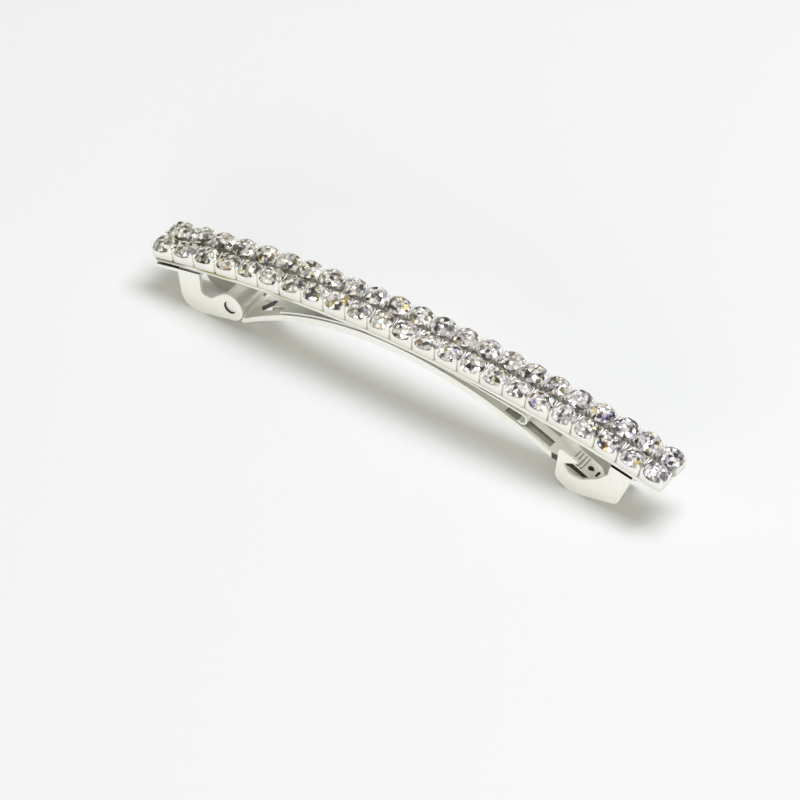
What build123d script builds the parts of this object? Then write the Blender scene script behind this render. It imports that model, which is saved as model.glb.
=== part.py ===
"""An arched barrette: two rows of cut stones on a bar, with a hinged tongue and a clasp below.

Millimetres. The origin is on the table under the middle of the clip, +X runs along the bar from
the hinge to the clasp, -Y faces the front row of stones, +Z is up.
"""
import os
from collections import namedtuple
from math import asin, cos, degrees, radians, sin, sqrt

from build123d import *

os.makedirs("parts", exist_ok=True)

# Bar
bar_radius = 173.8        # arch of the bar's top face
bar_thickness = 0.65
bar_lean = 1.0            # degrees by which the clasp end of the bar stands higher
crest_height = 10.8       # bar's top face above the table at mid-length
bar_side_margin = 0.05    # the cups overhang the bar by this at each side
bar_end_margin = 0.35     # and by this at each end

# Stones and cups
stone_count = 23          # in each row
stone_pitch = 3.48
row_pitch = 3.4
stone_radius = 1.64
table_radius = 0.88
girdle_thickness = 0.10
crown_height = 0.82
pavilion_depth = 1.15
culet_radius = 0.12
facet_count = 8
cup_gap = 0.16            # between neighbours in a row
row_gap = 1.1             # between the cups of the two rows
cup_corner = 0.14
cup_seam = 0.06           # between the bar and the cups' bottoms
wall_height = 1.42        # middle of a cup's wall
claw_rise = 0.42          # claws above the walls
claw_width = 0.5
stone_clearance = 0.04
strip_width = 1.2         # strip that joins the cups of a row
strip_thickness = 0.2

# Brackets
sheet = 0.45              # metal of both brackets
cheek_gap = 4.7           # clear width between a bracket's cheeks
bracket_slit = 0.33       # open slit between the bar and a bracket's flange
land_gap = 0.04           # left over the solder land inside the slit
hinge_land_width = 4.9
clasp_land_width = 2.6

# Hinge bracket
pivot_inset = 12.5        # pivot to the bar's hinge end
pivot_height = 3.15
pin_radius = 0.87
pin_clearance = 0.08
pin_recess = 0.25         # pin ends inside the cheeks' outer faces
ear_radius = 2.0
hinge_flange_inset = 0.6  # flange's end to the bar's end
hinge_leg_inset = 4.1     # leg's outer edge to the bar's end
hinge_leg_width = 3.5
hinge_leg_taper = 0.8     # leg's outer edge comes in by this on its way down
heel_radius = 2.0
sole_length = 3.3
notch_height = 3.15       # floor of the notch between leg and ear
notch_radius = 0.5

# Clasp bracket
clasp_inset = 4.3         # leg's outer edge to the bar's clasp end
clasp_length = 11.6       # leg's outer edge to the hook's bow
clasp_leg_width = 3.2

# Tongue
crest_shift = 1.0         # tongue's crest towards the hinge from mid-length
leaf_headroom = 0.30      # bar to spring
leaf_seat = 0.15          # spring to tongue
tongue_half_width = 2.15
shoulder_half_width = 2.75
head_half_width = 1.35
shoulder_reach = 2.3      # shoulder's near edge from the pivot
shoulder_length = 6.0
shoulder_clearance = 0.25
barrel_radius = 1.75
barrel_play = 0.2         # barrel to each cheek
tongue_sheet = 0.45
root_height = 2.45        # tongue's top at the shoulder
root_thickness = 0.75
crest_depth = 1.1
neck_depth = 1.0
tip_thickness = 0.5
neck_height = 4.3
tip_height = 1.6
neck_inset = 0.9          # neck to the hook's bow
tip_reach = 5.4           # head's tip past the hook's bow
lug_radius = 1.2
lug_drop = 0.5
lug_run = 16.4            # lug from the tongue's crest
channel_hinge_run = 17.0  # hollow underside from the crest towards the hinge
channel_clasp_run = 12.5
groove_start_run = 16.5   # grooves in the top, from the crest
groove_end_run = 23.4
groove_depth = 0.35
rib_half_width = 0.55
window_length = 2.9
window_half_width = 1.3
window_gap = 0.7          # window's point to the shoulder's near edge
head_hole_radius = 0.4
head_hole_inset = 1.7
head_slot_length = 1.0    # slot across the head near its tip
head_slot_width = 0.3
head_slot_inset = 0.7
ridge_count = 4           # across the head, between its hole and the neck
ridge_width = 0.22
ridge_pitch = 0.5
ridge_height = 0.18
ridge_margin = 0.25       # ridge ends to the head's sides

# Tension spring
leaf_thickness = 0.3
leaf_half_width = 2.05
tab_half_width = 0.75
tab_bend_radius = 0.45
tab_drop = 0.8
tab_clearance = 0.2       # tab's bend to the window's clasp side
tab_side_gap = 0.2        # tab to the window at each side
leaf_hinge_run = 18.6     # full width of the leaf, from the crest
curl_radius = 0.78        # middle of the leaf in the rolled end
curl_run = 19.2
curl_turn = 215

bar_length = stone_count * stone_pitch
half_angle = degrees(bar_length / bar_radius / 2)
cup_top = cup_seam + wall_height + claw_rise
arch_x = (bar_radius + cup_top) * sin(radians(bar_lean)) * cos(radians(half_angle))
mid_x = arch_x - bar_radius * sin(radians(bar_lean))
arch_z = crest_height - bar_radius * cos(radians(bar_lean))
hinge_end_x = arch_x + bar_radius * sin(radians(-half_angle - bar_lean))
clasp_end_x = arch_x + bar_radius * sin(radians(half_angle - bar_lean))
cup_length = stone_pitch - cup_gap
cup_width = row_pitch - row_gap
bar_width = row_pitch + cup_width - 2 * bar_side_margin
bracket_half_width = cheek_gap / 2 + sheet
pivot_x = hinge_end_x + pivot_inset
leg_x = hinge_end_x + hinge_leg_inset
clasp_leg_x = clasp_end_x - clasp_inset
bow_x = clasp_leg_x - clasp_length


def arch(x, drop=0.0):
    """Height of the arc that runs drop below the bar's top face."""
    return arch_z + sqrt((bar_radius - drop) ** 2 - (x - arch_x) ** 2)


def station(index, y):
    """Place on the bar's top face under one stone, z out of the bar and x along it."""
    turn = (index - (stone_count - 1) / 2) * stone_pitch / bar_radius - radians(bar_lean)
    origin = (arch_x + bar_radius * sin(turn), y, arch_z + bar_radius * cos(turn))
    return Plane(origin, x_dir=(cos(turn), 0, -sin(turn)), z_dir=(sin(turn), 0, cos(turn))).location


def arch_band(start_x, end_x, top_drop, bottom_drop):
    """Outline of a curved strip that follows the arch between two drops below the top face."""
    middle_x = (start_x + end_x) / 2
    top = [(x, arch(x, top_drop)) for x in (start_x, middle_x, end_x)]
    bottom = [(x, arch(x, bottom_drop)) for x in (end_x, middle_x, start_x)]
    with BuildLine() as band:
        ThreePointArc(*top)
        Line(top[-1], bottom[0])
        ThreePointArc(*bottom)
        Line(bottom[-1], top[0])
    return band.line


with BuildPart() as base_bar:
    with BuildSketch(Plane.XZ):
        make_face(
            arch_band(hinge_end_x + bar_end_margin, clasp_end_x - bar_end_margin, 0, bar_thickness)
        )
    extrude(amount=bar_width / 2, both=True)
    fillet(base_bar.edges().filter_by(Axis.Z, tolerance=20), bar_thickness / 2)

# A stone's girdle rests just above the middle of its cup's walls
girdle_height = cup_seam + wall_height + stone_clearance
facet_inset = cos(radians(180 / facet_count))


def cut_stone(clearance=0.0):
    """A stone with a flat table and pointed back, or with a clearance the seat that holds it."""
    with BuildPart() as gem:
        with BuildSketch(Plane.XY.offset(girdle_height - pavilion_depth - clearance)):
            RegularPolygon(stone_radius + clearance, facet_count)
        extrude(amount=pavilion_depth + girdle_thickness + crown_height + 2 * clearance)
        table = gem.faces().sort_by(Axis.Z)[-1]
        crown_inset = (stone_radius - table_radius) * facet_inset
        chamfer(table.edges(), crown_inset, crown_height, reference=table)
        back = gem.faces().sort_by(Axis.Z)[0]
        pavilion_inset = (stone_radius - culet_radius) * facet_inset
        chamfer(back.edges(), pavilion_inset, pavilion_depth, reference=back)
    return gem


stone = cut_stone()
seat = cut_stone(stone_clearance)

# A cup: four walls cut to the stone's form, dipped between the claws
with BuildPart() as cup:
    with BuildSketch(Plane.XY.offset(cup_seam)) as cup_plan:
        Rectangle(cup_length, cup_width)
        chamfer(cup_plan.vertices(), cup_corner)
    extrude(amount=wall_height + claw_rise)
    with BuildSketch(Plane.XY.offset(cup_seam + wall_height)):
        Rectangle(cup_length - 2 * claw_width, cup_width)
        Rectangle(cup_length, cup_width - 2 * claw_width)
    extrude(amount=claw_rise, mode=Mode.SUBTRACT)
    add(seat.part, mode=Mode.SUBTRACT)


def cup_row(y):
    """One row of cups on the strip that joins them."""
    places = [station(index, y) for index in range(stone_count)]
    strip_start = places[0].position.X
    strip_end = places[-1].position.X
    with BuildPart() as row:
        with BuildSketch(Plane.XZ.offset(-y)):
            make_face(arch_band(strip_start, strip_end, -cup_seam, -cup_seam - strip_thickness))
        extrude(amount=strip_width / 2, both=True)
        with Locations(places):
            add(cup.part)
    return row


def stone_row(y):
    """The loose stones of one row."""
    with BuildPart() as row:
        with Locations([station(index, y) for index in range(stone_count)]):
            add(stone.part)
    return row


cup_row_front = cup_row(-row_pitch / 2)
cup_row_back = cup_row(row_pitch / 2)
stones_front = stone_row(-row_pitch / 2)
stones_back = stone_row(row_pitch / 2)

flange_drop = bar_thickness + bracket_slit


def flange_middle(x):
    """Height of the middle of a bracket's flange."""
    return arch(x, flange_drop + sheet / 2)


# Hinge bracket: two hooked cheeks hang from the flange and end in ears round the pins
with BuildPart() as hinge_bracket:
    flange_end_x = leg_x + hinge_leg_width
    with BuildSketch(Plane.XZ):
        make_face(
            arch_band(
                hinge_end_x + hinge_flange_inset, flange_end_x, flange_drop, flange_drop + sheet
            )
        )
    extrude(amount=bracket_half_width, both=True)
    with BuildSketch(Plane.XZ):
        make_face(
            arch_band(leg_x, flange_end_x, bar_thickness + land_gap, flange_drop + sheet / 2)
        )
    extrude(amount=hinge_land_width / 2, both=True)
    with BuildSketch(Plane.XZ.offset(cheek_gap / 2)):
        heel_x = leg_x + hinge_leg_taper
        with BuildLine():
            FilletPolyline(
                (leg_x, flange_middle(leg_x)),
                (heel_x, 0),
                (heel_x + sole_length, 0),
                (pivot_x, pivot_height - ear_radius),
                (pivot_x, pivot_height),
                (pivot_x - 0.6 * ear_radius, pivot_height + 0.8 * ear_radius),
                (pivot_x - ear_radius - 2 * notch_radius, notch_height),
                (flange_end_x + notch_radius / 2, notch_height),
                (flange_end_x, flange_middle(flange_end_x)),
                radius=[0, heel_radius, 0, 0, 0, 0, notch_radius, notch_radius, 0],
                close=True,
            )
        make_face()
        with Locations((pivot_x, pivot_height)):
            Circle(ear_radius)
            Circle(pin_radius + pin_clearance, mode=Mode.SUBTRACT)
    extrude(amount=sheet)
    mirror(about=Plane.XZ)

# Clasp bracket: two cheeks like hooks, open above towards the leg
OutlinePoint = namedtuple("OutlinePoint", "along up corner")
# Shares of the clasp's length from the bow, of its height, and of the leg's width
hook_outline = [
    OutlinePoint(along=0.819, up=0.205, corner=0.42),
    OutlinePoint(along=0.300, up=0.0, corner=0.60),
    OutlinePoint(along=0.170, up=0.0, corner=0.50),
    OutlinePoint(along=0.0, up=0.165, corner=0.45),
    OutlinePoint(along=0.060, up=0.925, corner=0.12),
    OutlinePoint(along=0.330, up=0.770, corner=0.06),
    OutlinePoint(along=0.105, up=0.590, corner=0.10),
    OutlinePoint(along=0.200, up=0.385, corner=0.30),
    OutlinePoint(along=0.340, up=0.395, corner=0.30),
    OutlinePoint(along=0.560, up=0.600, corner=0.30),
    OutlinePoint(along=0.690, up=0.820, corner=0.20),
]
with BuildPart() as clasp_bracket:
    inner_leg_x = clasp_leg_x - clasp_leg_width
    clasp_height = flange_middle((inner_leg_x + clasp_leg_x) / 2)
    with BuildSketch(Plane.XZ):
        make_face(arch_band(inner_leg_x, clasp_leg_x, flange_drop, flange_drop + sheet))
    extrude(amount=bracket_half_width, both=True)
    with BuildSketch(Plane.XZ):
        make_face(
            arch_band(
                inner_leg_x, clasp_leg_x, bar_thickness + land_gap, flange_drop + sheet / 2
            )
        )
    extrude(amount=clasp_land_width / 2, both=True)
    with BuildSketch(Plane.XZ.offset(cheek_gap / 2)):
        with BuildLine():
            FilletPolyline(
                (clasp_leg_x, flange_middle(clasp_leg_x)),
                *[
                    (bow_x + point.along * clasp_length, point.up * clasp_height)
                    for point in hook_outline
                ],
                (inner_leg_x, flange_middle(inner_leg_x)),
                radius=[0] + [point.corner * clasp_leg_width for point in hook_outline] + [0],
                close=True,
            )
        make_face()
    extrude(amount=sheet)
    mirror(about=Plane.XZ)

# Tongue: the side view is three arcs above and three below, level at the crest
crest_x = mid_x - crest_shift
spring_top = arch(crest_x, bar_thickness) - leaf_headroom
crest_top = spring_top - leaf_thickness - leaf_seat
root_x = pivot_x + shoulder_reach
neck_x = bow_x - neck_inset
tip_x = bow_x + tip_reach


def arc_radius(run, drop):
    """Radius of an arc that is level at its crest and falls by drop over run."""
    return (run**2 + drop**2) / (2 * drop)


hinge_arc = arc_radius(crest_x - root_x, crest_top - root_height)
clasp_arc = arc_radius(neck_x - crest_x, crest_top - neck_height)


def tongue_top(run):
    """Point on the tongue's top at a run from the crest, negative towards the hinge."""
    radius = hinge_arc if run < 0 else clasp_arc
    return (crest_x + run, crest_top - radius + sqrt(radius**2 - run**2))


def tongue_band(start_run, end_run, depth, closing_height):
    """Outline on one side of the crest, from depth below the tongue's top to a level line."""
    runs = (start_run, (start_run + end_run) / 2, end_run)
    curve = [(tongue_top(run)[0], tongue_top(run)[1] - depth) for run in runs]
    with BuildLine() as band:
        ThreePointArc(*curve)
        Polyline(curve[-1], (curve[-1][0], closing_height), (curve[0][0], closing_height), curve[0])
    return band.line


with BuildPart() as tongue:
    with BuildSketch(Plane.XZ):
        with BuildLine():
            crest = (crest_x, crest_top)
            under_crest = (crest_x, crest_top - crest_depth)
            neck = (neck_x, neck_height)
            under_neck = (neck_x, neck_height - neck_depth)
            root = (root_x, root_height)
            under_root = (root_x, root_height - root_thickness)
            TangentArc(crest, root, tangent=(-1, 0))
            Line(root, (pivot_x, pivot_height))
            Line((pivot_x, pivot_height), (pivot_x, pivot_height - barrel_radius))
            Line((pivot_x, pivot_height - barrel_radius), under_root)
            TangentArc(under_crest, under_root, tangent=(-1, 0))
            lower = TangentArc(under_crest, under_neck, tangent=(1, 0))
            TangentArc(under_neck, (tip_x, tip_height - tip_thickness), tangent=lower % 1)
            Line((tip_x, tip_height - tip_thickness), (tip_x, tip_height))
            upper = TangentArc(crest, neck, tangent=(1, 0))
            TangentArc(neck, (tip_x, tip_height), tangent=upper % 1)
        make_face()
        lug_x, lug_top = tongue_top(lug_run)
        with Locations((lug_x, lug_top - neck_depth - lug_drop + lug_radius)):
            Circle(lug_radius)
        with BuildLine():
            Polyline(
                (lug_x - 2 * lug_radius, crest_top),
                tongue_top(lug_run - 2 * lug_radius),
                tongue_top(lug_run + 2 * lug_radius),
                (lug_x + 2 * lug_radius, crest_top),
                close=True,
            )
        make_face(mode=Mode.SUBTRACT)
    extrude(amount=shoulder_half_width, both=True)
    with BuildSketch():
        taper_x = root_x + shoulder_length
        with BuildLine():
            half_plan = Polyline(
                (pivot_x, 0),
                (pivot_x, shoulder_half_width),
                (root_x, shoulder_half_width),
                (taper_x, tongue_half_width),
                (neck_x, tongue_half_width),
                (bow_x + head_half_width, head_half_width),
                (tip_x - head_half_width, head_half_width),
            )
            RadiusArc(half_plan @ 1, (tip_x, 0), head_half_width)
            Line((tip_x, 0), half_plan @ 0)
        make_face()
        mirror(about=Plane.XZ)
    extrude(amount=crest_height, mode=Mode.INTERSECT)
    # the ears turn clear of the shoulders
    with BuildSketch(Plane.XZ):
        with Locations((pivot_x, pivot_height)):
            Circle(ear_radius + shoulder_clearance)
    extrude(amount=shoulder_half_width, both=True, mode=Mode.SUBTRACT)
    barrel_half_width = cheek_gap / 2 - barrel_play
    with BuildSketch(Plane.XZ):
        with Locations((pivot_x, pivot_height)):
            Circle(barrel_radius)
        with BuildLine():
            Polyline(
                (pivot_x, pivot_height - barrel_radius),
                under_root,
                root,
                (pivot_x, pivot_height),
                close=True,
            )
        make_face()
    extrude(amount=barrel_half_width, both=True)
    with BuildSketch(Plane.XZ):
        with Locations((pivot_x, pivot_height)):
            Circle(barrel_radius - tongue_sheet)
        with Locations((pivot_x - barrel_radius, pivot_height - barrel_radius / 2)):
            Rectangle(2 * barrel_radius, barrel_radius)
    extrude(amount=barrel_half_width - tongue_sheet, both=True, mode=Mode.SUBTRACT)
    with BuildSketch(Plane.XZ):
        with Locations((pivot_x, pivot_height)):
            Circle(pin_radius)
    extrude(amount=bracket_half_width - pin_recess, both=True)
    inner_half_width = tongue_half_width - tongue_sheet
    # hollow underside between the two side walls
    with BuildSketch(Plane.XZ):
        make_face(tongue_band(0, -channel_hinge_run, tongue_sheet, 0))
        make_face(tongue_band(0, channel_clasp_run, tongue_sheet, 0))
    extrude(amount=inner_half_width, both=True, mode=Mode.SUBTRACT)
    # a groove each side of the middle rib
    groove_half_width = (inner_half_width - rib_half_width) / 2
    for side in (-1, 1):
        with BuildSketch(Plane.XZ.offset(side * (rib_half_width + groove_half_width))):
            make_face(tongue_band(groove_start_run, groove_end_run, groove_depth, crest_top))
        extrude(amount=groove_half_width, both=True, mode=Mode.SUBTRACT)
    # kite window near the hinge, and the hole and slot in the head
    window_x = root_x + window_gap
    window_end_x = window_x + window_length
    with BuildSketch():
        with BuildLine():
            Polyline(
                (window_x, 0),
                (window_x + 0.4 * window_length, window_half_width),
                (window_end_x, tab_half_width + tab_side_gap),
                (window_end_x, -tab_half_width - tab_side_gap),
                (window_x + 0.4 * window_length, -window_half_width),
                close=True,
            )
        make_face()
        with Locations((tip_x - head_hole_inset, 0)):
            Circle(head_hole_radius)
        with Locations((tip_x - head_slot_inset, 0)):
            SlotOverall(head_slot_length, head_slot_width, rotation=90)
    extrude(amount=crest_height, mode=Mode.SUBTRACT)

# Ridges across the head, from its hole towards the neck
with BuildPart() as ridges:
    with BuildSketch(Plane.XZ):
        with BuildLine():
            raised = TangentArc(
                (neck_x, neck_height + ridge_height),
                (tip_x, tip_height + ridge_height),
                tangent=upper % 1,
            )
            sunk = (raised @ 1) - (0, 2 * ridge_height)
            Line(raised @ 1, sunk)
            TangentArc((neck_x, neck_height - ridge_height), sunk, tangent=upper % 1)
            Line((neck_x, neck_height - ridge_height), raised @ 0)
        make_face()
    extrude(amount=head_half_width, both=True)
    with BuildSketch():
        last_ridge_x = tip_x - head_hole_inset - head_hole_radius - ridge_pitch
        with Locations((last_ridge_x - (ridge_count - 1) * ridge_pitch / 2, 0)):
            with GridLocations(ridge_pitch, ridge_pitch, ridge_count, 1):
                Rectangle(ridge_width, 2 * (head_half_width - ridge_margin))
    extrude(amount=crest_height, mode=Mode.INTERSECT)
with tongue:
    add(ridges.part)

# Tension spring: a leaf on the tongue, its tab bent into the window and its clasp end rolled
with BuildPart() as tension_spring:
    leaf_middle = spring_top - leaf_thickness / 2
    hinge_bend = hinge_arc + leaf_seat + leaf_thickness / 2
    tab_turn = asin((crest_x - window_end_x + tab_clearance) / hinge_bend)
    curl_reach = clasp_arc + leaf_seat + leaf_thickness / 2 + curl_radius
    curl_fall = curl_reach - sqrt(curl_reach**2 - curl_run**2)
    curl_drop = leaf_middle - (crest_top - clasp_arc + curl_reach - curl_fall)
    clasp_bend = (curl_run**2 + curl_drop**2 - curl_radius**2) / (2 * (curl_drop - curl_radius))
    curl_start = asin(curl_run / (clasp_bend - curl_radius))
    with BuildSketch(Plane.XZ):
        with BuildLine():
            hinge_side = CenterArc(
                (crest_x, crest_top - hinge_arc), hinge_bend, 90, degrees(tab_turn)
            )
            bend = JernArc(
                hinge_side @ 1, hinge_side % 1, tab_bend_radius, 90 - degrees(tab_turn)
            )
            Line(bend @ 1, (bend @ 1) - (0, tab_drop))
            clasp_side = CenterArc(
                (crest_x, leaf_middle - clasp_bend), clasp_bend, 90, -degrees(curl_start)
            )
            JernArc(clasp_side @ 1, clasp_side % 1, curl_radius, -curl_turn)
        trace(line_width=leaf_thickness)
    extrude(amount=leaf_half_width, both=True)
    with BuildSketch():
        with Locations((crest_x, 0)):
            Rectangle(bar_length, 2 * tab_half_width)
        with Locations((crest_x - leaf_hinge_run, 0)):
            Rectangle(bar_length, 2 * leaf_half_width, align=(Align.MIN, Align.CENTER))
    extrude(amount=crest_height, mode=Mode.INTERSECT)

base_bar.part.label = "base_bar"
cup_row_front.part.label = "cup_row_front"
cup_row_back.part.label = "cup_row_back"
stones_front.part.label = "stones_front"
stones_back.part.label = "stones_back"
hinge_bracket.part.label = "hinge_bracket"
clasp_bracket.part.label = "clasp_bracket"
tongue.part.label = "tongue"
tension_spring.part.label = "tension_spring"

export_step(base_bar.part, "parts/base_bar.step")
export_step(cup_row_front.part, "parts/cup_row_front.step")
export_step(cup_row_back.part, "parts/cup_row_back.step")
export_step(stones_front.part, "parts/stones_front.step")
export_step(stones_back.part, "parts/stones_back.step")
export_step(hinge_bracket.part, "parts/hinge_bracket.step")
export_step(clasp_bracket.part, "parts/clasp_bracket.step")
export_step(tongue.part, "parts/tongue.step")
export_step(tension_spring.part, "parts/tension_spring.step")
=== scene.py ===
"""Looks of an arched barrette with two rows of cut stones, a hinged tongue and a clasp.

Sizes are millimetres and are turned into metres where a mesh is made. +X runs along the bar from
the hinge to the clasp, -Y faces the front row of stones and +Z is up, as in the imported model.
"""

import logging
import math
from collections.abc import Sequence
from dataclasses import dataclass
from enum import Enum

import bmesh
import bpy
import numpy as np
from mathutils import Matrix

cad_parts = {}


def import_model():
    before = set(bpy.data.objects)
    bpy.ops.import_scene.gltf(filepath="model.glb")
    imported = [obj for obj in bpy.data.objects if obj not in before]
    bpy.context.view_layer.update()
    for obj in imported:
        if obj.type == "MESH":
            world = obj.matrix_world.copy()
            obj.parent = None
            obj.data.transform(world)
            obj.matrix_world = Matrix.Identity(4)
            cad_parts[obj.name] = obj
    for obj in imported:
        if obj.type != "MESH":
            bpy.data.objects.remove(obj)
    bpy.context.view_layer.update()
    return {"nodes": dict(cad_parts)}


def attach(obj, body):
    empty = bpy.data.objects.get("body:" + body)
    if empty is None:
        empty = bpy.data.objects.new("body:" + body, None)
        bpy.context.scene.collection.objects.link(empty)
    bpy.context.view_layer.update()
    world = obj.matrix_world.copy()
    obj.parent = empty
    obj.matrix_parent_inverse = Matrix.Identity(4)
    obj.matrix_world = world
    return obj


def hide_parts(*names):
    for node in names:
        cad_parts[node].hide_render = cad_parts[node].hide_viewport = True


MM = 0.001
RIGID_BODY = "barrette"
MOVING_BODY = "tongue_arm"

# Attributes that the finishes read
# Painted shade in gaps, seams and hollows, where shadow falls
PAINTED_SHADE = "painted_shade"
# Olive tint on some seams between the cups and the bar
OLIVE_SEAM = "olive_seam"
FACET_SHADE = "facet_shade"
FOIL_TURN = "foil_turn"
VALUE_KEYS = {"FLOAT": "value", "FLOAT_COLOR": "color", "FLOAT_VECTOR": "vector"}

# Millimetres, degrees and Blender's weight from 1 to 100
MERGE_DISTANCE = 0.0002
FLAT_ANGLE = 0.5
SHARP_ANGLE = 32.0
EVEN_WEIGHT = 80

WHITE = (1.0, 1.0, 1.0)

log = logging.getLogger("barrette")


# Mesh helpers


def grid_faces(rows: int, columns: int, closed: bool) -> np.ndarray:
    """Quads of a grid of points, row after row.

    Args:
        rows: number of rows of points.
        columns: number of points in a row.
        closed: whether the last point of a row is joined to its first.

    Returns:
        One row of four point numbers per quad.
    """
    spans = columns if closed else columns - 1
    row, column = np.meshgrid(np.arange(rows - 1), np.arange(spans), indexing="ij")
    following = (column + 1) % columns
    corners = (
        row * columns + column,
        row * columns + following,
        (row + 1) * columns + following,
        (row + 1) * columns + column,
    )
    return np.stack(corners, axis=-1).reshape(-1, 4)


def linked_object(name: str, data: bpy.types.ID) -> bpy.types.Object:
    """Makes an object at the origin and adds it to the scene.

    Args:
        name: name of the object.
        data: the mesh, lamp or camera that it shows.

    Returns:
        The new object.
    """
    made = bpy.data.objects.new(name, data)
    bpy.context.scene.collection.objects.link(made)
    return made


def make_piece(
    name: str, points: np.ndarray, faces: list[list[int]], smooth: bool
) -> bpy.types.Object:
    """Puts points in millimetres and faces into a new object at the origin.

    Args:
        name: name of the piece.
        points: one row per point.
        faces: point numbers of each face, counter-clockwise from outside.
        smooth: whether the faces are shaded smooth.

    Returns:
        The new object.
    """
    mesh = bpy.data.meshes.new(name)
    mesh.from_pydata((points * MM).tolist(), [], faces)
    mesh.polygons.foreach_set("use_smooth", np.full(len(mesh.polygons), smooth))
    mesh.update()
    return linked_object(name, mesh)


def add_values(
    mesh: bpy.types.Mesh, name: str, domain: str, kind: str, values: np.ndarray
) -> None:
    """Gives each point or face of a mesh a value that its finish can read.

    Args:
        mesh: the mesh.
        name: name of the attribute.
        domain: POINT or FACE.
        kind: FLOAT, FLOAT_COLOR or FLOAT_VECTOR.
        values: one number or one row of numbers per point or face.
    """
    layer = mesh.attributes.new(name, kind, domain)
    layer.data.foreach_set(VALUE_KEYS[kind], np.ravel(values))


def face_vectors(mesh: bpy.types.Mesh, what: str) -> np.ndarray:
    """Reads a vector of each face.

    Args:
        mesh: the mesh.
        what: Blender's name of the vector, normal or center.

    Returns:
        One row of three numbers per face.
    """
    values = np.empty(len(mesh.polygons) * 3)
    mesh.polygons.foreach_get(what, values)
    return values.reshape(-1, 3)


def soft_window(place: np.ndarray, middle: float, half: float, softness: float) -> np.ndarray:
    """Nearly 1 within half of the middle and nearly 0 outside, by a logistic step at each side."""
    return 1 / (1 + np.exp(np.clip((np.abs(place - middle) - half) / softness, -40, 40)))


def window_sum(place: np.ndarray, windows: tuple, softness: float) -> np.ndarray:
    """Sum of soft windows, each with its middle, half width and strength."""
    return sum(
        strength * soft_window(place, middle, half, softness) for middle, half, strength in windows
    )


def merged_copy(name: str, node: bpy.types.Object, flat_angle: float) -> bpy.types.Object:
    """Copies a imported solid's mesh, with its loose triangles merged and its flat faces joined.

    Args:
        name: name of the new piece.
        node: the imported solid's object.
        flat_angle: degrees up to which neighbouring faces count as one flat face.

    Returns:
        The new object.
    """
    mesh = bpy.data.meshes.new(name)
    form = bmesh.new()
    form.from_mesh(node.data)
    bmesh.ops.remove_doubles(form, verts=form.verts, dist=MERGE_DISTANCE * MM)
    bmesh.ops.dissolve_limit(
        form, angle_limit=math.radians(flat_angle), verts=form.verts, edges=form.edges
    )
    form.to_mesh(mesh)
    form.free()
    mesh.polygons.foreach_set("use_smooth", np.full(len(mesh.polygons), True))
    return linked_object(name, mesh)


def soften_edges(piece: bpy.types.Object, width: float, segments: int) -> None:
    """Rounds the sharp edges of a piece and evens its shading.

    Args:
        piece: the piece.
        width: width of the rounding in millimetres.
        segments: faces across the rounding.
    """
    bevel = piece.modifiers.new("rounded edges", "BEVEL")
    bevel.width = width * MM
    bevel.segments = segments
    bevel.limit_method = "ANGLE"
    bevel.angle_limit = math.radians(SHARP_ANGLE)
    bevel.miter_outer = "MITER_ARC"
    shading = piece.modifiers.new("even shading", "WEIGHTED_NORMAL")
    shading.keep_sharp = False
    shading.weight = EVEN_WEIGHT


# Finishes


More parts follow.
